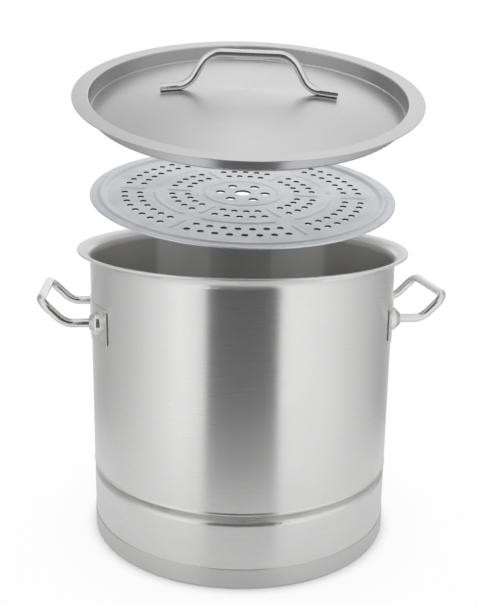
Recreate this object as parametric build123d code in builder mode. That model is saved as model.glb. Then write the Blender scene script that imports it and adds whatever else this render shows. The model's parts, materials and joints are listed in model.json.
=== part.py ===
import math
import os

from build123d import *

os.makedirs("parts", exist_ok=True)

# Steamer pot, millimetres, +Z up. The underside of the base lies on z = 0 around the
# origin and the two side handles point along X. Front is -Y.
# The lid and the steam rack are drawn taken off, tilted above the pot. Each is built
# in its own frame first, moved to its seat in the pot, then swung up on a lift axis.

# pot body
body_radius = 180.0
pot_height = 347.0
body_wall = 1.2
lip_overhang = 14.5
lip_hem_thickness = 2.1
lip_hem_width = 3.4
lip_edge_rounding = 0.5
flare_rounding = 13.0
base_corner_rounding = 8.0
bore_radius = body_radius - body_wall
lip_radius = body_radius + lip_overhang

# pressed ring around the body, the ledge of the rack; the wall swells out a little above it
ledge_depth = 7.5
ledge_foot_height = 76.6
ledge_ramp_rise = 5.9
ledge_floor_width = 3.9
ledge_brow_width = 2.2
ledge_swell = 0.6
ledge_swell_run = 1.2
ledge_swell_rounding = 2.5
ledge_shoulder_rounding = 1.6
ledge_floor_rounding = 1.2
ledge_foot_rounding = 6.0
ledge_floor_radius = body_radius - ledge_depth
ledge_floor_height = ledge_foot_height + ledge_ramp_rise
ledge_shoulder_height = ledge_floor_height + ledge_floor_width
ledge_brow_height = ledge_shoulder_height + ledge_brow_width
ledge_swell_height = ledge_brow_height + ledge_swell_run
ledge_brow_radius = body_radius + ledge_swell
ledge_top = ledge_shoulder_height + body_wall

# base sandwich
cap_thickness = 0.6
cap_height = 24.0
cap_corner_rounding = 4.0
cap_edge_rounding = 0.3
core_thickness = 6.4
core_rim_height = 1.0
shell_bottom = cap_thickness + core_thickness
cap_radius = body_radius + cap_thickness

# side handles, one bent rod on one welded plate each
side_rod_radius = 5.0
side_rod_half_spacing = 56.0
side_rod_drop = 77.5
side_rod_leg_length = 25.4
side_rod_grip_run = 26.2
side_rod_grip_rise = 26.5
side_rod_leg_rounding = 24.0
side_rod_grip_rounding = 13.0
side_plate_thickness = 1.4
side_plate_half_angle = 28.4
side_plate_height = 46.0
side_plate_drop = 2.0
side_plate_corner_rounding = 7.0
side_plate_edge_rounding = 0.5
boss_base_radius = 14.0
boss_top_radius = 7.4
boss_height = 7.2
boss_rounding = 3.0
boss_root_depth = 14.0
spot_radius = 3.8
spot_depth = 0.8
spot_angle = 25.2
spot_rise = 13.8
spot_lift = 1.0
side_rod_height = pot_height - side_rod_drop
side_plate_center_height = side_rod_height - side_plate_drop
plate_radius = body_radius + side_plate_thickness
side_rod_bend_reach = plate_radius + side_rod_leg_length
side_rod_grip_reach = side_rod_bend_reach + side_rod_grip_run
half_turn = 180.0
full_turn = 360.0
half_share = 0.5

# lid
lid_wall = 1.0
lid_flange_inset = 0.1
lid_pan_clearance = 2.8
lid_pan_depth = 18.0
lid_crown_height = 2.5
lid_crown_edge_inset = 8.0
lid_flange_rounding = 2.0
lid_crease_rounding = 1.6
lid_edge_rounding = 0.4
lid_seat_gap = 0.3
lid_rod_radius = 4.5
lid_rod_bar_half_length = 45.4
lid_rod_leg_run = 21.4
lid_rod_foot_length = 32.0
lid_rod_bar_height = 41.5
lid_rod_rounding = 26.0
lid_rod_weld_sink = 0.25
lid_rod_turn = -7.9
lid_flange_radius = lip_radius - lid_flange_inset
lid_pan_radius = bore_radius - lid_pan_clearance
lid_crown_edge_radius = lid_pan_radius - lid_crown_edge_inset
lid_rod_foot_bend = lid_rod_bar_half_length + lid_rod_leg_run
lid_rod_foot_reach = lid_rod_foot_bend + lid_rod_foot_length
lid_rod_foot_middle = lid_rod_foot_bend + lid_rod_foot_length * half_share

# steam rack
rack_wall = 2.0
rack_clearance = 3.2
rack_flange_width = 8.1
rack_ridge_outer_run = 3.0
rack_ridge_width = 2.5
rack_ridge_inner_run = 5.5
rack_ridge_height = 1.0
rack_plate_drop = 1.9
rack_step_rounding = 3.0
rack_edge_rounding = 0.5
rack_seat_gap = 0.3
rack_seat_shift_x = 1.0
rack_seat_shift_y = -1.5
rack_sector_count = 6
rack_sector_angle = full_turn / rack_sector_count
rack_turn = -98.8
rack_radius = bore_radius - rack_clearance
rack_flange_inner_radius = rack_radius - rack_flange_width
rack_ridge_outer_radius = rack_flange_inner_radius - rack_ridge_outer_run
rack_ridge_inner_radius = rack_ridge_outer_radius - rack_ridge_width
rack_plate_edge_radius = rack_ridge_inner_radius - rack_ridge_inner_run
small_hole_radius = 3.7
middle_hole_radius = 5.4
center_hole_radius = 9.4
middle_hole_ring_share = 0.166
# rows of small holes in each sector: distance from the middle as a share of the flat
# plate's radius, number of holes, angle between them
small_hole_row_shares = (
    (0.872, 8, 6.5),
    (0.760, 7, 7.25),
    (0.524, 5, 9.7),
    (0.411, 4, 11.6),
)
# pressed ribs: one arc per sector, a ring around the middle, radial ribs between sectors
rib_radius = 9.0
rib_rise = 0.7
arc_rib_angle = 44.0
arc_rib_ring_share = 0.642
ring_rib_share = 0.278
radial_rib_shares = ((0.396, 0.550), (0.741, 0.901))

# lift axes: each lies level with the travel of its piece, a long way in front of the
# pot, so the piece leaves its seat almost straight up and tips toward the viewer
lid_lift_reach = 538.0
lid_lift_rise = 3.4
lid_lift_heading = -3.6
lid_lift_slope = -0.85
lid_lift_angle = 19.3
rack_lift_reach = 1515.0
rack_lift_rise = 119.4
rack_lift_heading = -0.35
rack_lift_slope = 0.5
rack_lift_angle = 12.23


def lift_axis(reach, height, heading, slope):
    # heading and slope turn a line along X; the line passes `reach` in front of the pot
    turn, dip = math.radians(heading), math.radians(slope)
    point = (reach * math.sin(turn), -reach * math.cos(turn), height)
    direction = (math.cos(turn) * math.cos(dip), math.sin(turn) * math.cos(dip), math.sin(dip))
    return Axis(point, direction)


def inner_skin(points, radii, wall):
    # the same bent line moved sideways by the wall, to its left when seen along the line;
    # a bend to the left gets a smaller radius, a bend to the right a larger one
    steps = [
        ((b[0] - a[0]) / math.dist(a, b), (b[1] - a[1]) / math.dist(a, b))
        for a, b in zip(points, points[1:])
    ]
    shifted = [(points[0][0] - wall * steps[0][1], points[0][1] + wall * steps[0][0])]
    bends = []
    for point, radius, before, after in zip(points[1:-1], radii, steps, steps[1:]):
        turn = before[0] * after[1] - before[1] * after[0]
        along = (1 - before[0] * after[0] - before[1] * after[1]) / turn
        shifted.append(
            (
                point[0] - wall * before[1] - wall * along * before[0],
                point[1] + wall * before[0] - wall * along * before[1],
            )
        )
        bends.append(radius - wall * math.copysign(1, turn))
    shifted.append(
        (points[-1][0] - wall * steps[-1][1], points[-1][1] + wall * steps[-1][0])
    )
    return shifted, bends


def rim_edges(builder, radius):
    # the round edges of a turned part that lie at one radius
    circles = builder.edges().filter_by(GeomType.CIRCLE)
    return circles.filter_by(lambda edge: math.isclose(edge.radius, radius))


def rod_path(points, radii):
    # straight runs joined by tangent arcs, also for bends that leave one plane
    corner = [Vector(*point) for point in points]
    start = corner[0]
    for before, here, after, radius in zip(corner, corner[1:], corner[2:], radii):
        back, ahead = (before - here).normalized(), (after - here).normalized()
        half = math.radians(back.get_angle(ahead)) * half_share
        enter = here + back * (radius / math.tan(half))
        leave = here + ahead * (radius / math.tan(half))
        middle = here + (back + ahead).normalized() * (radius / math.sin(half) - radius)
        Line(start, enter)
        ThreePointArc(enter, middle, leave)
        start = leave
    Line(start, corner[-1])


# outer skin of the pot from the foot of the lip down to the middle of the bottom
shell_points = [
    (lip_radius, pot_height - body_wall),
    (body_radius, pot_height - body_wall),
    (body_radius, ledge_swell_height),
    (ledge_brow_radius, ledge_brow_height),
    (ledge_brow_radius, ledge_shoulder_height),
    (ledge_floor_radius, ledge_shoulder_height),
    (ledge_floor_radius, ledge_floor_height),
    (body_radius, ledge_foot_height),
    (body_radius, shell_bottom),
    (0, shell_bottom),
]
shell_radii = [
    flare_rounding,
    ledge_swell_rounding,
    ledge_swell_rounding,
    ledge_shoulder_rounding,
    ledge_floor_rounding,
    ledge_floor_rounding,
    ledge_foot_rounding,
    base_corner_rounding,
]
# seen along this line the inside of the pot is on its right, so the wall is negative
shell_inner_points, shell_inner_radii = inner_skin(shell_points, shell_radii, -body_wall)

# pot shell: flared lip with a folded hem, plain wall, pressed ledge ring, flat bottom
with BuildPart() as pot_shell:
    with BuildSketch(Plane.XZ):
        with BuildLine():
            outside = FilletPolyline(*shell_points, radius=shell_radii)
            inside = FilletPolyline(*shell_inner_points, radius=shell_inner_radii)
            Line(outside @ 0, inside @ 0)
            Line(outside @ 1, inside @ 1)
        make_face()
    revolve(axis=Axis.Z)
    with BuildSketch(Plane.XZ):
        hem_rise = lip_hem_thickness - body_wall * half_share
        with Locations((lip_radius - lip_hem_width, pot_height - lip_hem_thickness)):
            Rectangle(lip_hem_width, hem_rise, align=(Align.MIN, Align.MIN))
    revolve(axis=Axis.Z)
    fillet(rim_edges(pot_shell, lip_radius), lip_edge_rounding)

# base core: aluminium disc that fills the space between the bottom and the cap
with BuildPart() as pot_envelope:
    with BuildSketch(Plane.XZ):
        with BuildLine():
            bottom_line = FilletPolyline(
                (body_radius, ledge_foot_height),
                (body_radius, shell_bottom),
                (0, shell_bottom),
                radius=[base_corner_rounding],
            )
            Polyline(bottom_line @ 1, (0, ledge_foot_height), bottom_line @ 0)
        make_face()
    revolve(axis=Axis.Z)

with BuildPart() as base_core:
    with BuildSketch(Plane.XY.offset(cap_thickness)):
        Circle(body_radius)
    extrude(amount=core_thickness + core_rim_height)
    fillet(base_core.edges().group_by(Axis.Z)[0], cap_corner_rounding - cap_thickness)
    add(pot_envelope.part, mode=Mode.SUBTRACT)

# base cap: steel cup pressed over the core, its wall is the darker band at the foot
cap_points = [(0, 0), (cap_radius, 0), (cap_radius, cap_height)]
cap_inner_points, cap_inner_radii = inner_skin(cap_points, [cap_corner_rounding], cap_thickness)
with BuildPart() as base_cap:
    with BuildSketch(Plane.XZ):
        with BuildLine():
            outside = FilletPolyline(*cap_points, radius=[cap_corner_rounding])
            inside = FilletPolyline(*cap_inner_points, radius=cap_inner_radii)
            Line(outside @ 0, inside @ 0)
            Line(outside @ 1, inside @ 1)
        make_face()
    revolve(axis=Axis.Z)
    fillet(base_cap.edges().group_by(Axis.Z)[-1].sort_by(SortBy.RADIUS)[-1], cap_edge_rounding)

# one pressed boss, in a frame of its own with the rod along Z and the plate side down
with BuildPart() as boss:
    with BuildSketch(Plane.XZ):
        with BuildLine():
            boss_line = FilletPolyline(
                (0, boss_height),
                (boss_top_radius, boss_height),
                (boss_base_radius, 0),
                (boss_base_radius, -boss_root_depth),
                (0, -boss_root_depth),
                radius=[boss_rounding, boss_rounding, boss_rounding],
            )
            Line(boss_line @ 1, boss_line @ 0)
        make_face()
    revolve(axis=Axis.Z)

# where the rod ends stand, on the plate at +X, and the tools that trim around them
plate_reach_at_rod = math.sqrt(plate_radius**2 - side_rod_half_spacing**2)
rod_start = math.sqrt(plate_radius**2 - (side_rod_half_spacing - side_rod_radius) ** 2)
rod_ends = [
    Location(Plane((plate_reach_at_rod, side * side_rod_half_spacing, side_rod_height),
                   x_dir=(0, 1, 0), z_dir=(1, 0, 0)))
    for side in (-1, 1)
]
rod_holes = [
    Location(Plane((rod_start, side * side_rod_half_spacing, side_rod_height),
                   x_dir=(0, 1, 0), z_dir=(1, 0, 0)))
    for side in (-1, 1)
]

# both bosses, cut off halfway into the plate so they grow out of it
plate_foot = side_plate_center_height - side_plate_height * half_share
with BuildPart() as boss_pair:
    with Locations(*rod_ends):
        add(boss.part)
    with BuildSketch(Plane.XY.offset(plate_foot - side_plate_height)):
        Circle(body_radius + side_plate_thickness * half_share)
    extrude(amount=side_plate_height + side_plate_height + side_plate_height, mode=Mode.SUBTRACT)

# side handle plate at +X: curved strip with the bosses, rod holes and spot-weld dimples
with BuildPart() as handle_plate:
    with BuildSketch(Plane.XY.offset(plate_foot)):
        with BuildLine():
            sweep_angle = side_plate_half_angle + side_plate_half_angle
            outer_arc = CenterArc((0, 0), plate_radius, -side_plate_half_angle, sweep_angle)
            inner_arc = CenterArc((0, 0), body_radius, -side_plate_half_angle, sweep_angle)
            Line(outer_arc @ 0, inner_arc @ 0)
            Line(outer_arc @ 1, inner_arc @ 1)
        make_face()
    extrude(amount=side_plate_height)
    corner_edges = handle_plate.edges().filter_by(GeomType.LINE)
    corner_edges = corner_edges.filter_by(lambda edge: abs(edge.tangent_at(0).Z) < half_share)
    fillet(corner_edges, side_plate_corner_rounding)
    outer_face = handle_plate.faces().filter_by(GeomType.CYLINDER).sort_by(SortBy.AREA)[-1]
    fillet(outer_face.edges(), side_plate_edge_rounding)
    for one_boss in boss_pair.solids():
        add(one_boss)
    with Locations(*rod_holes):
        Cylinder(
            side_rod_radius, boss_height + boss_root_depth,
            align=(Align.CENTER, Align.CENTER, Align.MIN), mode=Mode.SUBTRACT,
        )
    dimple_ball = (spot_radius**2 + spot_depth**2) / (spot_depth + spot_depth)
    for side in (-1, 1):
        for rise in (-spot_rise, 0, spot_rise):
            spot = math.radians(side * spot_angle)
            dimple_reach = plate_radius + dimple_ball - spot_depth
            with Locations(
                (dimple_reach * math.cos(spot), dimple_reach * math.sin(spot),
                 side_rod_height + spot_lift + rise)
            ):
                Sphere(dimple_ball, mode=Mode.SUBTRACT)

# side handle rod at +X: two level legs, bent up and out, closed by the grip bar
grip_height = side_rod_height + side_rod_grip_rise
with BuildPart() as handle_rod:
    with BuildLine() as handle_line:
        rod_path(
            [
                (rod_start, -side_rod_half_spacing, side_rod_height),
                (side_rod_bend_reach, -side_rod_half_spacing, side_rod_height),
                (side_rod_grip_reach, -side_rod_half_spacing, grip_height),
                (side_rod_grip_reach, side_rod_half_spacing, grip_height),
                (side_rod_bend_reach, side_rod_half_spacing, side_rod_height),
                (rod_start, side_rod_half_spacing, side_rod_height),
            ],
            [side_rod_leg_rounding, side_rod_grip_rounding,
             side_rod_grip_rounding, side_rod_leg_rounding],
        )
    with BuildSketch(Plane(handle_line.line @ 0, z_dir=handle_line.line % 0)):
        Circle(side_rod_radius)
    sweep()

# lid, in a frame of its own: z = 0 is the top of the flange, the handle lies along X
crown_rise = lid_crown_height + lid_pan_depth
crown_ball = (lid_pan_radius**2 + crown_rise**2) / (crown_rise + crown_rise)
crown_center = lid_crown_height - crown_ball


def crown_top(radius):
    # height of the domed floor of the lid at a distance from its middle
    return crown_center + math.sqrt(crown_ball**2 - radius**2)


crown_slope = lid_crown_edge_radius / math.sqrt(crown_ball**2 - lid_crown_edge_radius**2)
crease_height = (
    crown_top(lid_crown_edge_radius) - crown_slope * (lid_pan_radius - lid_crown_edge_radius)
)
lid_points = [
    (lid_flange_radius, 0),
    (lid_pan_radius, 0),
    (lid_pan_radius, crease_height),
    (lid_crown_edge_radius, crown_top(lid_crown_edge_radius)),
]
lid_radii = [lid_flange_rounding, lid_crease_rounding]
lid_under_points, lid_under_radii = inner_skin(lid_points, lid_radii, lid_wall)
crown_under_ball = crown_ball - lid_wall
crown_half_angle = math.asin(lid_crown_edge_radius / crown_ball) * half_share

with BuildPart() as lid_cover:
    with BuildSketch(Plane.XZ):
        with BuildLine():
            top = FilletPolyline(*lid_points, radius=lid_radii)
            under = FilletPolyline(*lid_under_points, radius=lid_under_radii)
            ThreePointArc(
                top @ 1,
                (crown_ball * math.sin(crown_half_angle),
                 crown_center + crown_ball * math.cos(crown_half_angle)),
                (0, lid_crown_height),
            )
            ThreePointArc(
                under @ 1,
                (crown_under_ball * math.sin(crown_half_angle),
                 crown_center + crown_under_ball * math.cos(crown_half_angle)),
                (0, lid_crown_height - lid_wall),
            )
            Line((0, lid_crown_height), (0, lid_crown_height - lid_wall))
            Line(top @ 0, under @ 0)
        make_face()
    revolve(axis=Axis.Z)
    fillet(rim_edges(lid_cover, lid_flange_radius), lid_edge_rounding)

# lid handle: bent rod, its feet lie along the slope of the crown and are welded flat
foot_slope = lid_rod_foot_middle / math.sqrt(crown_ball**2 - lid_rod_foot_middle**2)
foot_lift = (lid_rod_radius - lid_rod_weld_sink) * math.sqrt(1 + foot_slope**2)
foot_height = crown_top(lid_rod_foot_middle) + foot_lift
foot_outer = foot_height - foot_slope * (lid_rod_foot_reach - lid_rod_foot_middle)
foot_inner = foot_height + foot_slope * (lid_rod_foot_middle - lid_rod_foot_bend)
with BuildPart() as lid_handle:
    with BuildLine() as lid_rod_line:
        rod_path(
            [
                (-lid_rod_foot_reach, 0, foot_outer),
                (-lid_rod_foot_bend, 0, foot_inner),
                (-lid_rod_bar_half_length, 0, lid_rod_bar_height),
                (lid_rod_bar_half_length, 0, lid_rod_bar_height),
                (lid_rod_foot_bend, 0, foot_inner),
                (lid_rod_foot_reach, 0, foot_outer),
            ],
            [lid_rod_rounding, lid_rod_rounding, lid_rod_rounding, lid_rod_rounding],
        )
    with BuildSketch(Plane(lid_rod_line.line @ 0, z_dir=lid_rod_line.line % 0)):
        Circle(lid_rod_radius)
    sweep()
    with Locations((0, 0, crown_center)):
        Sphere(crown_ball, mode=Mode.SUBTRACT)

# steam rack, in a frame of its own: z = 0 is the top of the outer flange
rack_points = [
    (rack_radius, 0),
    (rack_flange_inner_radius, 0),
    (rack_ridge_outer_radius, rack_ridge_height),
    (rack_ridge_inner_radius, rack_ridge_height),
    (rack_plate_edge_radius, -rack_plate_drop),
    (0, -rack_plate_drop),
]
rack_radii = [rack_step_rounding for _ in rack_points[1:-1]]
rack_under_points, rack_under_radii = inner_skin(rack_points, rack_radii, rack_wall)


def pressed_ribs(bar_radius, bar_center, lowest):
    # round bars that lie mostly below the plate, each cut off under `lowest` before they meet
    seam = math.radians(rack_sector_angle * half_share)
    with BuildLine() as arc_path:
        CenterArc(
            (0, 0, bar_center), rack_plate_edge_radius * arc_rib_ring_share,
            -arc_rib_angle * half_share, arc_rib_angle,
        )
    paths = [arc_path.line]
    for rib_shares in radial_rib_shares:
        reaches = [rack_plate_edge_radius * share for share in rib_shares]
        ends = [(reach * math.cos(seam), reach * math.sin(seam), bar_center) for reach in reaches]
        with BuildLine() as bar_path:
            Line(*ends)
        paths.append(bar_path.line)
    bars = []
    for path in paths:
        with BuildPart() as bar:
            with BuildSketch(Plane(path @ 0, z_dir=path % 0)):
                Circle(bar_radius)
            sweep(path=path)
            with Locations(path @ 0, path @ 1):
                Sphere(bar_radius)
        bars.append(bar.part)
    with BuildPart() as ring:
        with Locations((0, 0, bar_center)):
            Torus(rack_plate_edge_radius * ring_rib_share, bar_radius)
    trimmed = []
    for whole in (*bars, ring.part):
        with BuildPart() as cap:
            add(whole)
            with Locations((0, 0, lowest)):
                Cylinder(
                    rack_radius, bar_radius + bar_radius,
                    align=(Align.CENTER, Align.CENTER, Align.MAX), mode=Mode.SUBTRACT,
                )
        trimmed.append(cap.part)
    with BuildPart() as ribs:
        for cap_part in trimmed[:-1]:
            with PolarLocations(0, rack_sector_count):
                add(cap_part)
        add(trimmed[-1])
    return ribs.part


rib_center = rib_rise - rack_plate_drop - rib_radius
plate_middle = -rack_plate_drop - rack_wall * half_share
below_plate = -rack_plate_drop - rack_wall - rack_wall
with BuildPart() as steam_rack:
    with BuildSketch(Plane.XZ):
        with BuildLine():
            top = FilletPolyline(*rack_points, radius=rack_radii)
            under = FilletPolyline(*rack_under_points, radius=rack_under_radii)
            Line(top @ 0, under @ 0)
            Line(top @ 1, under @ 1)
        make_face()
    revolve(axis=Axis.Z)
    fillet(rim_edges(steam_rack, rack_radius), rack_edge_rounding)
    add(pressed_ribs(rib_radius, rib_center, plate_middle))
    add(pressed_ribs(rib_radius - rack_wall, rib_center, below_plate), mode=Mode.SUBTRACT)
    with BuildSketch(Plane.XY.offset(below_plate)):
        Circle(center_hole_radius)
        seam_angle = rack_sector_angle * half_share
        middle_ring = rack_plate_edge_radius * middle_hole_ring_share
        with PolarLocations(middle_ring, rack_sector_count, start_angle=seam_angle):
            Circle(middle_hole_radius)
        for ring_share, count, step in small_hole_row_shares:
            ring = rack_plate_edge_radius * ring_share
            for sector in range(rack_sector_count):
                first = sector * rack_sector_angle - step * (count - 1) * half_share
                with PolarLocations(ring, count, first, step * (count - 1), endpoint=True):
                    Circle(small_hole_radius)
    extrude(amount=rack_ridge_height - below_plate, mode=Mode.SUBTRACT)

# seats in the pot: the lid flange stands on the lip, the rack flange on the ledge
lid_seat = Location((0, 0, pot_height + lid_seat_gap + lid_wall))
rack_seat = Location(
    (rack_seat_shift_x, rack_seat_shift_y, ledge_top + rack_seat_gap + rack_wall)
)
lid_lift_height = pot_height + lid_lift_rise
rack_lift_height = ledge_top + rack_lift_rise
lid_lift = lift_axis(lid_lift_reach, lid_lift_height, lid_lift_heading, lid_lift_slope)
rack_lift = lift_axis(rack_lift_reach, rack_lift_height, rack_lift_heading, rack_lift_slope)

nodes = {
    "pot_shell": pot_shell.part,
    "base_core": base_core.part,
    "base_cap": base_cap.part,
    "right_handle_plate": handle_plate.part,
    "right_handle_rod": handle_rod.part,
    "left_handle_plate": handle_plate.part.rotate(Axis.Z, half_turn),
    "left_handle_rod": handle_rod.part.rotate(Axis.Z, half_turn),
    "lid_cover": lid_cover.part.moved(lid_seat).rotate(lid_lift, lid_lift_angle),
    "lid_handle": lid_handle.part.rotate(Axis.Z, lid_rod_turn)
    .moved(lid_seat)
    .rotate(lid_lift, lid_lift_angle),
    "steam_rack": steam_rack.part.rotate(Axis.Z, rack_turn)
    .moved(rack_seat)
    .rotate(rack_lift, rack_lift_angle),
}
for name, part in nodes.items():
    part.label = name
    export_step(part, f"parts/{name}.step")
    print(name, "volume", round(part.volume), "box", part.bounding_box())
for name, axis in (("lid", lid_lift), ("rack", rack_lift)):
    print(name, "lift axis through", axis.position, "along", axis.direction)
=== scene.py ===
import json
import math
import bpy
import numpy as np
from mathutils import Matrix, Vector

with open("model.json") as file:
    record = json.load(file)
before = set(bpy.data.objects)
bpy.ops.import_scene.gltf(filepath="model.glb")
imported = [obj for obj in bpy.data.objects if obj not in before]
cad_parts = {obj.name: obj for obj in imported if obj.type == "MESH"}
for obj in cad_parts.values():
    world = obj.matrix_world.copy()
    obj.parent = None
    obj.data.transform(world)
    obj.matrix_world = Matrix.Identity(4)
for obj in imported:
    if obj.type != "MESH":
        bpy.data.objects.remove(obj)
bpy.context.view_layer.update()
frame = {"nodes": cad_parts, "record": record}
nodes = frame["nodes"]
print("frame loaded:", len(nodes), "pieces")


# an input takes a link where the value is a socket, and the plain value otherwise
def fillInput(tree, socket, value):
    if isinstance(value, bpy.types.NodeSocket):
        tree.links.new(value, socket)
    else:
        socket.default_value = value


def addNode(tree, kind, inputs=None, **settings):
    node = tree.nodes.new(kind)
    for key, value in settings.items():
        setattr(node, key, value)
    for key, value in (inputs or {}).items():
        fillInput(tree, node.inputs[key], value)
    return node


# grey stops of a colour ramp, as pairs of place and level
def fillRamp(ramp, stops):
    while len(ramp.elements) > 1:
        ramp.elements.remove(ramp.elements[0])
    for step, (spot, level) in enumerate(stops):
        element = ramp.elements[0] if step == 0 else ramp.elements.new(spot)
        element.position = spot
        element.color = (level, level, level, 1)


def newGroup(name, ins, outs):
    group = bpy.data.node_groups.new(name, "ShaderNodeTree")
    for label, kind, value in ins:
        socket = group.interface.new_socket(label, in_out="INPUT", socket_type=kind)
        if value is not None:
            socket.default_value = value
    for label, kind in outs:
        group.interface.new_socket(label, in_out="OUTPUT", socket_type=kind)
    return group, group.nodes.new("NodeGroupInput"), group.nodes.new("NodeGroupOutput")


def placeGroup(tree, group, inputs):
    return addNode(tree, "ShaderNodeGroup", inputs, node_tree=group)


# shared surface patterns. A range holds the two levels of noise between which a mark fades in.
# The one for walls runs from faces along the axis (0) to faces across it (1), and the lip's
# fade is in metres.
patternLook = {
    "lineDetail": 4.0, "lineSoftness": 0.55, "lineRange": (0.3, 0.7),
    "markDetail": 5.0, "markSoftness": 0.6, "markSwirl": 0.8, "markRange": (0.42, 0.7),
    "rippleDetail": 3.0, "wallRange": (0.4, 0.8), "lipFade": 0.004,
}


def rangeInputs(value, ends):
    return {"Value": value, "From Min": ends[0], "From Max": ends[1]}


# fine grinding lines: noise squeezed across the lines and stretched along them.
# Lines run at one height and one distance from the axis, so the pattern reads
# (distance from the axis, height) finely and the turn around the axis coarsely.
def buildGrindLines():
    ins = [("Vector", "NodeSocketVector", None), ("Across", "NodeSocketFloat", 900.0),
           ("Along", "NodeSocketFloat", 9.0), ("Softness", "NodeSocketFloat", patternLook["lineSoftness"])]
    group, source, sink = newGroup("grindLines", ins, [("Lines", "NodeSocketFloat")])
    parts = addNode(group, "ShaderNodeSeparateXYZ", {0: source.outputs["Vector"]})
    squareX = addNode(group, "ShaderNodeMath", {0: parts.outputs[0], 1: parts.outputs[0]},
                      operation="MULTIPLY")
    squares = addNode(group, "ShaderNodeMath",
                      {0: parts.outputs[1], 1: parts.outputs[1], 2: squareX.outputs[0]},
                      operation="MULTIPLY_ADD")
    reach = addNode(group, "ShaderNodeMath", {0: squares.outputs[0]}, operation="SQRT")
    depth = addNode(group, "ShaderNodeMath", {0: reach.outputs[0], 1: parts.outputs[2]}, operation="ADD")
    fine = addNode(group, "ShaderNodeMath", {0: depth.outputs[0], 1: source.outputs["Across"]},
                   operation="MULTIPLY")
    coarse = []
    for side in (0, 1):
        unit = addNode(group, "ShaderNodeMath", {0: parts.outputs[side], 1: reach.outputs[0]},
                       operation="DIVIDE")
        coarse.append(addNode(group, "ShaderNodeMath", {0: unit.outputs[0], 1: source.outputs["Along"]},
                              operation="MULTIPLY"))
    place = addNode(group, "ShaderNodeCombineXYZ",
                    {0: coarse[0].outputs[0], 1: coarse[1].outputs[0], 2: fine.outputs[0]})
    lines = addNode(group, "ShaderNodeTexNoise",
                    {"Vector": place.outputs[0], "Scale": 1.0, "Detail": patternLook["lineDetail"],
                     "Roughness": source.outputs["Softness"]})
    group.links.new(lines.outputs["Fac"], sink.inputs["Lines"])
    return group


# wiping marks and light handling haze, a soft mask from 0 to 1
def buildWipeMarks():
    ins = [("Vector", "NodeSocketVector", None), ("Size", "NodeSocketFloat", 22.0)]
    group, source, sink = newGroup("wipeMarks", ins, [("Mask", "NodeSocketFloat")])
    wide = addNode(group, "ShaderNodeTexNoise",
                   {"Vector": source.outputs["Vector"], "Scale": source.outputs["Size"],
                    "Detail": patternLook["markDetail"], "Roughness": patternLook["markSoftness"],
                    "Distortion": patternLook["markSwirl"]})
    ramp = addNode(group, "ShaderNodeMapRange", rangeInputs(wide.outputs["Fac"], patternLook["markRange"]),
                   interpolation_type="SMOOTHSTEP")
    group.links.new(ramp.outputs[0], sink.inputs["Mask"])
    return group


grindLines = buildGrindLines()
wipeMarks = buildWipeMarks()


def emptyMaterial(name):
    material = bpy.data.materials.new(name)
    material.use_nodes = True
    tree = material.node_tree
    tree.nodes.clear()
    return material, tree, tree.nodes.new("ShaderNodeOutputMaterial")


def newMetal(name):
    material, tree, out = emptyMaterial(name)
    shader = addNode(tree, "ShaderNodeBsdfPrincipled", {"Metallic": 1.0})
    tree.links.new(shader.outputs[0], out.inputs[0])
    return material, tree, shader


# the place on a piece, as it lies and in the piece's own upright frame: middle at 0, axis along Z
def pieceSpace(tree, center, axis):
    turn = Vector(axis).rotation_difference(Vector((0, 0, 1)))
    shift = -(turn @ Vector(center))
    coords = addNode(tree, "ShaderNodeTexCoord")
    mapping = addNode(tree, "ShaderNodeMapping", {"Vector": coords.outputs["Object"]})
    mapping.inputs["Location"].default_value = shift
    mapping.inputs["Rotation"].default_value = turn.to_euler()
    return coords.outputs["Object"], mapping.outputs[0]


# direction of the grinding lines: square to the axis and to the way out from it
def lineDirection(tree, objectPlace, center, axis):
    outward = addNode(tree, "ShaderNodeVectorMath", {0: objectPlace, 1: center}, operation="SUBTRACT")
    around = addNode(tree, "ShaderNodeVectorMath", {0: axis, 1: outward.outputs[0]},
                     operation="CROSS_PRODUCT")
    turned = addNode(tree, "ShaderNodeVectorTransform", {0: around.outputs[0]},
                     vector_type="VECTOR", convert_from="OBJECT", convert_to="WORLD")
    unit = addNode(tree, "ShaderNodeVectorMath", {0: turned.outputs[0]}, operation="NORMALIZE")
    return unit.outputs[0]


# each colour is a socket or three levels
def mixColor(tree, share, first, second):
    mix = addNode(tree, "ShaderNodeMix", {"Factor": share}, data_type="RGBA")
    for key, color in (("A", first), ("B", second)):
        linked = isinstance(color, bpy.types.NodeSocket)
        fillInput(tree, mix.inputs[key], color if linked else (*color, 1))
    return mix.outputs["Result"]


def mixValue(tree, share, first, second):
    mix = addNode(tree, "ShaderNodeMix", {"Factor": share, "A": first, "B": second})
    return mix.outputs["Result"]


# 1 where a face looks toward the axis, as the inside of the wall does
def facingInward(tree, objectPlace, center):
    coords = addNode(tree, "ShaderNodeTexCoord")
    outward = addNode(tree, "ShaderNodeVectorMath", {0: objectPlace, 1: center}, operation="SUBTRACT")
    facing = addNode(tree, "ShaderNodeVectorMath", {0: outward.outputs[0], 1: coords.outputs["Normal"]},
                     operation="DOT_PRODUCT")
    return addNode(tree, "ShaderNodeMath", {0: facing.outputs["Value"], 1: 0.0},
                   operation="LESS_THAN").outputs[0]


# 1 on walls that stand along the axis, 0 on faces that lie across it
def acrossAxis(tree, axis):
    coords = addNode(tree, "ShaderNodeTexCoord")
    along = addNode(tree, "ShaderNodeVectorMath", {0: axis, 1: coords.outputs["Normal"]},
                    operation="DOT_PRODUCT")
    size = addNode(tree, "ShaderNodeMath", {0: along.outputs["Value"]}, operation="ABSOLUTE")
    return addNode(tree, "ShaderNodeMapRange",
                   {**rangeInputs(size.outputs[0], patternLook["wallRange"]),
                    "To Min": 1.0, "To Max": 0.0}).outputs[0]


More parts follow.
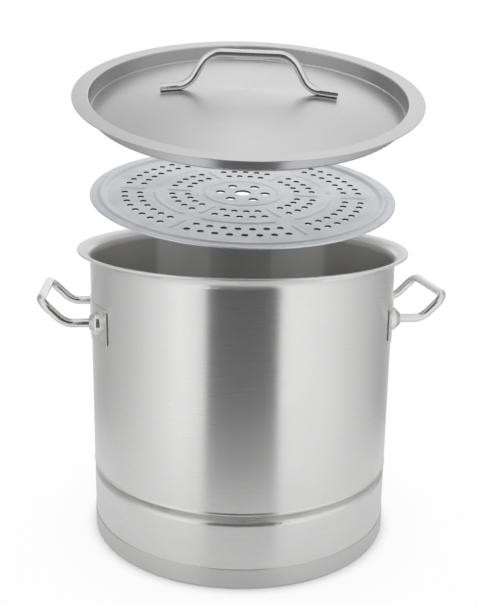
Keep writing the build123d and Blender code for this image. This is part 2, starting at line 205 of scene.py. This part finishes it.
# painted reflections inside the wall, in three broad tones: a band in the middle of the back, lighter
# flanks and dark sides, by the turn away from that middle, and alike at the front
def paintedReflectionBands(tree, place, middle, stops, color):
    parts = addNode(tree, "ShaderNodeSeparateXYZ", {0: place})
    turn = addNode(tree, "ShaderNodeMath", {0: parts.outputs[1], 1: parts.outputs[0]}, operation="ARCTAN2")
    size = addNode(tree, "ShaderNodeMath", {0: turn.outputs[0]}, operation="ABSOLUTE")
    away = addNode(tree, "ShaderNodeMath", {0: size.outputs[0], 1: math.radians(middle)},
                   operation="SUBTRACT")
    offset = addNode(tree, "ShaderNodeMath", {0: away.outputs[0]}, operation="ABSOLUTE")
    share = addNode(tree, "ShaderNodeMath", {0: offset.outputs[0], 1: math.pi}, operation="DIVIDE")
    ramp = addNode(tree, "ShaderNodeValToRGB", {0: share.outputs[0]})
    fillRamp(ramp.color_ramp, [(degrees / 180, level) for degrees, level in stops])
    tinted = addNode(tree, "ShaderNodeVectorMath", {0: ramp.outputs["Color"], 1: color},
                     operation="MULTIPLY")
    return tinted.outputs[0]


def axisDistance(tree, place):
    flat = addNode(tree, "ShaderNodeVectorMath", {0: place, 1: (1, 1, 0)}, operation="MULTIPLY")
    return addNode(tree, "ShaderNodeVectorMath", {0: flat.outputs[0]}, operation="LENGTH").outputs["Value"]


# 0 within a distance from the axis, 1 beyond it, with a soft step between
def beyondReach(tree, place, reach):
    ends = (reach, reach + patternLook["lipFade"])
    return addNode(tree, "ShaderNodeMapRange", rangeInputs(axisDistance(tree, place), ends)).outputs[0]


def shaded(look, share):
    return [min(1.0, level * share) for level in look["color"]]


# sheet ground in fine lines around its axis, with painted reflection bands inside, a painted highlight on
# the lip and painted shade on its walls where the look names them
def groundSteel(name, look, center=(0, 0, 0), axis=(0, 0, 1)):
    material, tree, shader = newMetal(name)
    objectPlace, place = pieceSpace(tree, center, axis)
    lines = placeGroup(tree, grindLines,
                       {"Vector": place, "Across": look["across"], "Along": look["along"]})
    marks = placeGroup(tree, wipeMarks, {"Vector": place, "Size": look["markSize"]})
    darker, lighter = shaded(look, 1 - look["lineShade"]), shaded(look, 1 + look["lineShade"])
    color = mixColor(tree, lines.outputs["Lines"], darker, lighter)
    rough = addNode(tree, "ShaderNodeMapRange",
                    {**rangeInputs(lines.outputs["Lines"], patternLook["lineRange"]),
                     "To Min": look["roughness"] - look["roughSpread"],
                     "To Max": look["roughness"] + look["roughSpread"]})
    hazed = addNode(tree, "ShaderNodeMath",
                    {0: marks.outputs["Mask"], 1: look["haze"], 2: rough.outputs[0]},
                    operation="MULTIPLY_ADD")
    bump = addNode(tree, "ShaderNodeBump",
                   {"Height": lines.outputs["Lines"], "Strength": look["bumpStrength"],
                    "Distance": look["bumpDepth"]})
    roughness = hazed.outputs[0]
    if "insideRoughness" in look:
        inside = facingInward(tree, objectPlace, center)
        roughness = mixValue(tree, inside, roughness, look["insideRoughness"])
        # painted reflections: bands of tone inside the wall by the turn around the axis
        paintedTones = paintedReflectionBands(tree, place, look["paintedReflectionMiddle"], look["paintedInsideBands"], look["paintedReflectionColor"])
        color = mixColor(tree, inside, color, paintedTones)
    # painted shade: upright walls of the lid get a darker colour, the inner wall darker still
    if "innerWallPaintedShade" in look:
        upright = acrossAxis(tree, axis)
        inward = facingInward(tree, objectPlace, center)
        inner = addNode(tree, "ShaderNodeMath", {0: upright, 1: inward}, operation="MULTIPLY")
        color = mixColor(tree, upright, color, shaded(look, look["outerWallPaintedShade"]))
        color = mixColor(tree, inner.outputs[0], color, shaded(look, look["innerWallPaintedShade"]))
    shader.inputs["Anisotropic"].default_value = look["anisotropic"]
    # painted highlight: the lip gets a lighter colour, with its own roughness and stretch
    if "lipReach" in look:
        lip = beyondReach(tree, place, look["lipReach"])
        color = mixColor(tree, lip, color, look["lipPaintedHighlight"])
        roughness = mixValue(tree, lip, roughness, look["lipRoughness"])
        stretch = mixValue(tree, lip, look["anisotropic"], look["lipAnisotropic"])
        tree.links.new(stretch, shader.inputs["Anisotropic"])
    tree.links.new(color, shader.inputs["Base Color"])
    tree.links.new(roughness, shader.inputs["Roughness"])
    tree.links.new(bump.outputs[0], shader.inputs["Normal"])
    shader.inputs["Anisotropic Rotation"].default_value = 0.25  # a quarter turn, across the lines
    tree.links.new(lineDirection(tree, objectPlace, center, axis), shader.inputs["Tangent"])
    return material


# 1 on the cut walls of the holes: faces that stand along the axis, inside the rim of the rack
def holeWalls(tree, center, axis, reach):
    place = pieceSpace(tree, center, axis)[1]
    within = addNode(tree, "ShaderNodeMath", {0: axisDistance(tree, place), 1: reach},
                     operation="LESS_THAN")
    return addNode(tree, "ShaderNodeMath", {0: within.outputs[0], 1: acrossAxis(tree, axis)},
                   operation="MULTIPLY").outputs[0]


# smooth steel with wiping marks and a slight ripple, and painted shade on the hole walls where the look
# names it
def polishedSteel(name, look, center=None, axis=None):
    material, tree, shader = newMetal(name)
    coords = addNode(tree, "ShaderNodeTexCoord")
    marks = placeGroup(tree, wipeMarks, {"Vector": coords.outputs["Object"], "Size": look["markSize"]})
    ripple = addNode(tree, "ShaderNodeTexNoise",
                     {"Vector": coords.outputs["Object"], "Scale": look["rippleScale"],
                      "Detail": patternLook["rippleDetail"]})
    color = mixColor(tree, marks.outputs["Mask"], look["color"], shaded(look, 1 - look["shade"]))
    rough = addNode(tree, "ShaderNodeMapRange",
                    {"Value": marks.outputs["Mask"], "To Min": look["roughness"],
                     "To Max": look["roughness"] + look["roughSpread"]})
    bump = addNode(tree, "ShaderNodeBump",
                   {"Height": ripple.outputs["Fac"], "Strength": look["bumpStrength"],
                    "Distance": look["bumpDepth"]})
    # painted shade: the cut walls of the holes get a near-black colour
    if "holePaintedShade" in look:
        walls = holeWalls(tree, center, axis, look["holeReach"])
        color = mixColor(tree, walls, color, look["holePaintedShade"])
    tree.links.new(color, shader.inputs["Base Color"])
    tree.links.new(rough.outputs[0], shader.inputs["Roughness"])
    tree.links.new(bump.outputs[0], shader.inputs["Normal"])
    return material


def dress(names, material):
    for name in names:
        target = nodes[name]
        for slot in target.material_slots:
            slot.material = material
        if not target.material_slots:
            target.data.materials.append(material)


# where a lifted piece lies at rest: a point and a direction of its seat, swung up by its hinge
def swungFrame(jointName, degrees, point, direction=(0, 0, 1)):
    hinge = next(j for j in frame["record"]["behaviour"]["joints"] if j["name"] == jointName)
    turn = Matrix.Rotation(math.radians(degrees), 3, Vector(hinge["axis"]).normalized())
    pivot = Vector(hinge["pos_m"])
    return tuple(pivot + turn @ (Vector(point) - pivot)), tuple(turn @ Vector(direction))


# degrees of lift, and the middle of the piece in its seat, metres
lidSeat = {"degrees": 19.3, "point": (0, 0, 0.3483)}
rackSeat = {"degrees": 12.23, "point": (0.001, -0.0015, 0.0899)}
lidCenter, lidAxis = swungFrame("lid_lift", **lidSeat)
rackCenter, rackAxis = swungFrame("rack_lift", **rackSeat)

# "across" and "along" say how fine the lines are, reaches and bump depths are in metres
potLook = {
    "color": (0.76, 0.76, 0.755), "roughness": 0.30, "roughSpread": 0.04, "haze": 0.03,
    "anisotropic": 0.85, "across": 1700.0, "along": 3.0, "lineShade": 0.03,
    "bumpStrength": 0.07, "bumpDepth": 0.00006, "markSize": 9.0, "insideRoughness": 0.40,
    # the inside colour is the base that the painted reflection bands tint
    "paintedReflectionColor": (0.99, 0.98, 0.965),
    # painted reflection bands inside: turn of the middle band from the right handle, then degrees away from
    # it and the tone there
    "paintedReflectionMiddle": 84.0, "paintedInsideBands": ((0, 0.8), (13, 0.8), (14.5, 0.96), (38, 0.8), (41, 0.57)),
    # the lip's lighter colour is a painted highlight
    "lipReach": 0.181, "lipPaintedHighlight": (0.82, 0.82, 0.82), "lipRoughness": 0.45, "lipAnisotropic": 0.0,
}
capLook = {
    "color": (0.66, 0.66, 0.655), "roughness": 0.33, "roughSpread": 0.04, "haze": 0.03,
    "anisotropic": 0.85, "across": 1700.0, "along": 3.0, "lineShade": 0.04,
    "bumpStrength": 0.07, "bumpDepth": 0.00006, "markSize": 9.0,
}
coreLook = {**capLook, "color": (0.77, 0.77, 0.78), "roughness": 0.45, "anisotropic": 0.3}
lidLook = {
    "color": (0.71, 0.71, 0.715), "roughness": 0.29, "roughSpread": 0.02, "haze": 0.02,
    "anisotropic": 0.8, "across": 1700.0, "along": 3.0, "lineShade": 0.02,
    # painted shade on the lid's upright walls, outer and inner
    "bumpStrength": 0.04, "bumpDepth": 0.00004, "markSize": 12.0, "innerWallPaintedShade": 0.64, "outerWallPaintedShade": 0.74,
}
rackLook = {
    "color": (0.755, 0.77, 0.80), "roughness": 0.38, "roughSpread": 0.06, "shade": 0.05,
    "rippleScale": 420.0, "bumpStrength": 0.2, "bumpDepth": 0.0001, "markSize": 16.0,
    # near-black painted shade on the cut walls of the holes
    "holePaintedShade": (0.07, 0.07, 0.08), "holeReach": 0.15,
}
rodLook = {
    "color": (0.74, 0.735, 0.73), "roughness": 0.09, "roughSpread": 0.06, "shade": 0.06,
    "rippleScale": 160.0, "bumpStrength": 0.12, "bumpDepth": 0.0002, "markSize": 40.0,
}
plateLook = {**rodLook, "roughness": 0.16, "roughSpread": 0.08, "rippleScale": 220.0}

dress(["pot_shell"], groundSteel("groundPotSteel", potLook))
dress(["base_cap"], groundSteel("groundCapSteel", capLook))
dress(["base_core"], groundSteel("rolledAluminium", coreLook))
dress(["lid_cover"], groundSteel("groundLidSteel", lidLook, lidCenter, lidAxis))
dress(["steam_rack"], polishedSteel("pressedRackSteel", rackLook, rackCenter, rackAxis))
dress(["left_handle_rod", "right_handle_rod", "lid_handle"],
      polishedSteel("polishedRodSteel", rodLook))
dress(["left_handle_plate", "right_handle_plate"], polishedSteel("polishedPlateSteel", plateLook))
print("finishes placed")


# studio: pale floor, a white surround with softer and darker sides, and a dark flag
stageLook = {
    "floorRadius": 9.0, "floorRings": 40, "floorTurns": 96, "floorColor": 0.93,
    "glossyFloorRadius": 0.46, "fadeReach": 1.5,
    # distance from the middle and the share of plain white that the camera sees there
    "fade": ((0.18, 0.2), (0.19, 0.86), (0.25, 0.94), (0.6, 0.97), (1.2, 1.0)),
    "flagFront": 0.47, "flagHalfWidth": 0.182, "flagShift": 0.008, "flagHeight": 0.75, "flagLevel": 0.10,
}
cameraLook = {
    "place": (-0.1176, -0.9976, 0.5184), "headingDeg": 6.5, "pitchDeg": 13.501, "rollDeg": -0.795,
    "focalPixels": 850.84, "imageHeight": 605, "sensorWidth": 36.0, "reach": 60.0,
}


def cameraAxes():
    pitch, roll, heading = (math.radians(cameraLook[k]) for k in ("pitchDeg", "rollDeg", "headingDeg"))
    ahead = Vector((0, math.cos(pitch), -math.sin(pitch)))
    down = ahead.cross(Vector((1, 0, 0)))
    right = math.cos(roll) * Vector((1, 0, 0)) + math.sin(roll) * down
    down = -math.sin(roll) * Vector((1, 0, 0)) + math.cos(roll) * down
    turn = Matrix.Rotation(-heading, 3, "Z")
    return turn @ right, turn @ -down, turn @ ahead


rightWay, upWay, aheadWay = cameraAxes()
cameraData = bpy.data.cameras.new("photoCamera")
cameraData.sensor_width = cameraLook["sensorWidth"]
cameraData.lens = cameraLook["focalPixels"] * cameraData.sensor_width / cameraLook["imageHeight"]
cameraData.clip_end = cameraLook["reach"]
camera = bpy.data.objects.new("photoCamera", cameraData)
bpy.context.scene.collection.objects.link(camera)
basis = Matrix((rightWay, upWay, -aheadWay)).transposed().to_4x4()
camera.matrix_world = Matrix.Translation(Vector(cameraLook["place"])) @ basis
bpy.context.scene.camera = camera


def gridDisc(name, radius, rings, turns, z):
    # point = (r cos t, r sin t, z) on a grid of rings and turns, one shared middle point
    r = np.linspace(0, radius, rings + 1)[1:]
    t = np.linspace(0, 2 * np.pi, turns, endpoint=False)
    ringPoints = np.stack([np.outer(r, np.cos(t)), np.outer(r, np.sin(t)),
                           np.full((rings, turns), z)], -1)
    points = np.vstack([[[0, 0, z]], ringPoints.reshape(-1, 3)])
    k = np.arange(turns)
    fan = np.stack([np.zeros(turns, int), 1 + k, 1 + (k + 1) % turns], 1)
    rows = np.arange(rings - 1)[:, None] * turns
    quads = np.stack([1 + rows + k, 1 + rows + turns + k, 1 + rows + turns + (k + 1) % turns,
                      1 + rows + (k + 1) % turns], -1).reshape(-1, 4)
    mesh = bpy.data.meshes.new(name)
    mesh.from_pydata(points.tolist(), [], fan.tolist() + quads.tolist())
    mesh.update()
    disc = bpy.data.objects.new(name, mesh)
    bpy.context.scene.collection.objects.link(disc)
    return disc


def floorMaterial():
    material, tree, out = emptyMaterial("paleFloor")
    coords = addNode(tree, "ShaderNodeTexCoord")
    distance = addNode(tree, "ShaderNodeVectorMath", {0: coords.outputs["Object"]}, operation="LENGTH")
    level = stageLook["floorColor"]
    matt = addNode(tree, "ShaderNodeBsdfPrincipled",
                   {"Base Color": (level, level, level, 1), "Roughness": 0.9})
    matt.inputs["Specular IOR Level"].default_value = 0.1
    white = addNode(tree, "ShaderNodeEmission", {"Color": (1, 1, 1, 1), "Strength": 1.0})
    clear = addNode(tree, "ShaderNodeBsdfTransparent")
    light = addNode(tree, "ShaderNodeLightPath")
    scaled = addNode(tree, "ShaderNodeMath", {0: distance.outputs["Value"], 1: stageLook["fadeReach"]},
                     operation="DIVIDE")
    fade = addNode(tree, "ShaderNodeValToRGB", {0: scaled.outputs[0]})
    fillRamp(fade.color_ramp, [(spot / stageLook["fadeReach"], share) for spot, share in stageLook["fade"]])
    seen = addNode(tree, "ShaderNodeMath", {0: fade.outputs["Color"], 1: light.outputs["Is Camera Ray"]},
                   operation="MULTIPLY")
    # reflections see the floor near the pot and the surround beyond it
    beyond = addNode(tree, "ShaderNodeMath",
                     {0: distance.outputs["Value"], 1: stageLook["glossyFloorRadius"]},
                     operation="GREATER_THAN")
    passed = addNode(tree, "ShaderNodeMath", {0: beyond.outputs[0], 1: light.outputs["Is Glossy Ray"]},
                     operation="MULTIPLY")
    near = addNode(tree, "ShaderNodeMixShader",
                   {0: seen.outputs[0], 1: matt.outputs[0], 2: white.outputs[0]})
    final = addNode(tree, "ShaderNodeMixShader",
                    {0: passed.outputs[0], 1: near.outputs[0], 2: clear.outputs[0]})
    tree.links.new(final.outputs[0], out.inputs[0])
    return material


floor = gridDisc("floor", stageLook["floorRadius"], stageLook["floorRings"], stageLook["floorTurns"], 0.0)
floor.data.materials.append(floorMaterial())


def plainEmitter(name, level):
    material, tree, out = emptyMaterial(name)
    glow = addNode(tree, "ShaderNodeEmission", {"Color": (level, level, level, 1), "Strength": 1.0})
    tree.links.new(glow.outputs[0], out.inputs[0])
    return material


# the dark flag stands upright in front of the pot and shows in reflections only
frontWay = Vector((-aheadWay.x, -aheadWay.y, 0)).normalized()
sideWay = Vector((-frontWay.y, frontWay.x, 0))
foot = frontWay * stageLook["flagFront"] + sideWay * stageLook["flagShift"]
span = sideWay * stageLook["flagHalfWidth"]
top = Vector((0, 0, stageLook["flagHeight"]))
flagMesh = bpy.data.meshes.new("darkFlag")
flagMesh.from_pydata([foot - span, foot + span, foot + span + top, foot - span + top], [], [(0, 1, 2, 3)])
flag = bpy.data.objects.new("darkFlag", flagMesh)
bpy.context.scene.collection.objects.link(flag)
flag.data.materials.append(plainEmitter("flagCloth", stageLook["flagLevel"]))
flag.visible_camera = False
flag.visible_diffuse = False
flag.visible_shadow = False


surroundLook = {
    # degrees from the front, to the viewer's right when positive, and the level there
    "around": ((-180, 1.0), (-165, 0.95), (-150, 0.6), (-125, 0.5), (-90, 0.66), (-60, 0.92), (-45, 1.08),
               (-30, 0.95), (0, 0.72), (30, 1.04), (64, 0.94), (97, 0.72), (132, 0.46), (150, 0.55),
               (165, 0.95), (180, 1.0)),
    # overhead: the level in front, and behind from the left (-1) to the right (1)
    "overheadFront": 0.9,
    "overheadBehind": ((-1, 0.4), (-0.5, 0.45), (-0.22, 0.62), (0, 1.0), (0.2, 0.88), (0.45, 0.64),
                       (1, 0.5)),
    # overhead takes over between two heights of a direction, 0 level and 1 straight up, and its
    # part behind takes over between two forward shares, 1 to the front and -1 to the back
    "rise": (0.2, 0.6), "turnBehind": (0.1, -0.3), "plainLevel": 0.97,
}
world = bpy.data.worlds.new("studio")
bpy.context.scene.world = world
world.use_nodes = True
world.cycles.sampling_method = "NONE"


# surround level by direction: a profile around the pot and one overhead
def surround():
    tree = world.node_tree
    tree.nodes.clear()
    out = tree.nodes.new("ShaderNodeOutputWorld")
    coords = addNode(tree, "ShaderNodeTexCoord")
    front = addNode(tree, "ShaderNodeVectorMath", {0: coords.outputs["Generated"], 1: frontWay},
                    operation="DOT_PRODUCT")
    side = addNode(tree, "ShaderNodeVectorMath", {0: coords.outputs["Generated"], 1: sideWay},
                   operation="DOT_PRODUCT")
    around = addNode(tree, "ShaderNodeMath", {0: side.outputs["Value"], 1: front.outputs["Value"]},
                     operation="ARCTAN2")
    share = addNode(tree, "ShaderNodeMapRange",
                    rangeInputs(around.outputs[0], (-math.pi, math.pi)))
    ramp = addNode(tree, "ShaderNodeValToRGB", {0: share.outputs[0]})
    fillRamp(ramp.color_ramp,
             [((degrees + 180) / 360, level) for degrees, level in surroundLook["around"]])
    height = addNode(tree, "ShaderNodeSeparateXYZ", {0: coords.outputs["Generated"]})
    overhead = addNode(tree, "ShaderNodeMapRange",
                       rangeInputs(height.outputs[2], surroundLook["rise"]),
                       interpolation_type="SMOOTHSTEP")
    # overhead and behind the pot the light is a bright strip with softer sides
    sideShare = addNode(tree, "ShaderNodeMapRange", rangeInputs(side.outputs["Value"], (-1.0, 1.0)))
    strip = addNode(tree, "ShaderNodeValToRGB", {0: sideShare.outputs[0]})
    fillRamp(strip.color_ramp,
             [(across * 0.5 + 0.5, level) for across, level in surroundLook["overheadBehind"]])
    behind = addNode(tree, "ShaderNodeMapRange",
                     rangeInputs(front.outputs["Value"], surroundLook["turnBehind"]),
                     interpolation_type="SMOOTHSTEP")
    sky = addNode(tree, "ShaderNodeMix", {"Factor": behind.outputs[0]}, data_type="RGBA")
    sky.inputs["A"].default_value = (*[surroundLook["overheadFront"]] * 3, 1)
    tree.links.new(strip.outputs["Color"], sky.inputs["B"])
    studio = addNode(tree, "ShaderNodeMix", {"Factor": overhead.outputs[0]}, data_type="RGBA")
    tree.links.new(ramp.outputs["Color"], studio.inputs["A"])
    tree.links.new(sky.outputs["Result"], studio.inputs["B"])
    light = addNode(tree, "ShaderNodeLightPath")
    seenStraight = addNode(tree, "ShaderNodeMath",
                           {0: light.outputs["Is Camera Ray"], 1: light.outputs["Is Transmission Ray"]},
                           operation="MAXIMUM")
    glossy = addNode(tree, "ShaderNodeBackground", {"Strength": 1.0})
    tree.links.new(studio.outputs["Result"], glossy.inputs["Color"])
    plain = addNode(tree, "ShaderNodeBackground",
                    {"Color": (1, 1, 1, 1), "Strength": surroundLook["plainLevel"]})
    white = addNode(tree, "ShaderNodeBackground", {"Color": (1, 1, 1, 1), "Strength": 1.0})
    both = addNode(tree, "ShaderNodeMixShader",
                   {0: light.outputs["Is Glossy Ray"], 1: plain.outputs[0], 2: glossy.outputs[0]})
    final = addNode(tree, "ShaderNodeMixShader",
                    {0: seenStraight.outputs[0], 1: both.outputs[0], 2: white.outputs[0]})
    tree.links.new(final.outputs[0], out.inputs[0])


surround()
bpy.context.scene.view_settings.view_transform = "Standard"
print("studio ready")
